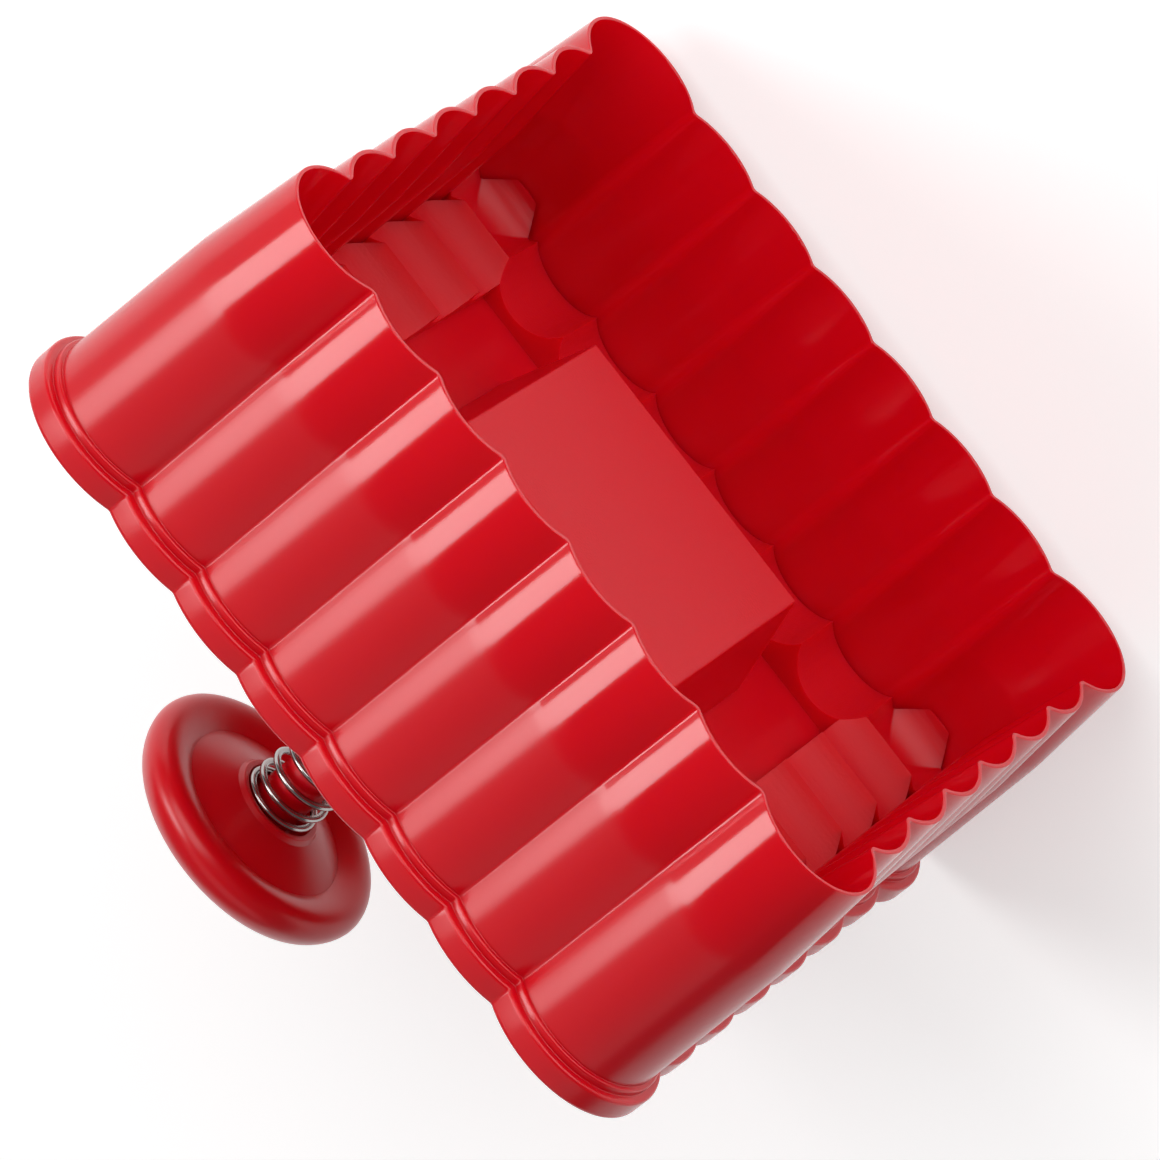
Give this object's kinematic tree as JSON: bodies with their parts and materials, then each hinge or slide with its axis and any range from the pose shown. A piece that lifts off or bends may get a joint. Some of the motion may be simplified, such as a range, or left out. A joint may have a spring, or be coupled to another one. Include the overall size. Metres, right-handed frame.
{
  "type": "plunger cutter",
  "caption": "Square fluted pastry cutter with a sliding embossing stamp, pushed out by a spring-loaded knob on a stem.",
  "frame": {"origin": "centre of the cutting edge's plane", "axes": "+Z along the plunger, from the cutting edge to the knob; X and Y square to the cutter's sides"},
  "size_m": [0.0876, 0.0876, 0.0698],
  "materials": {
    "red_gloss": "glossy moulded red plastic",
    "red_satin": "moulded red plastic, glossy walls, spark-textured block face and scoops",
    "red_stem": "moulded red plastic",
    "red_knob": "satin-gloss moulded red plastic",
    "red_cap": "satin-gloss moulded red plastic",
    "spring_steel": "bright drawn spring wire",
    "screw_steel": "zinc-plated steel"
  },
  "bodies": {
    "cutter": {"cutter_skirt": "red_gloss", "return_spring": "spring_steel"},
    "plunger": {"embossing_stamp": "red_satin", "plunger_stem": "red_stem", "knob": "red_knob", "knob_screw": "screw_steel", "knob_cap": "red_cap"}
  },
  "joints": [
    {"name": "plunger_press", "type": "slide", "parent": "cutter", "child": "plunger", "axis": [0, 0, -1], "range_m": [0, 0.019], "stiffness_N_per_m": 800, "springref_m": -0.004, "deforming": ["return_spring"]}
  ]
}
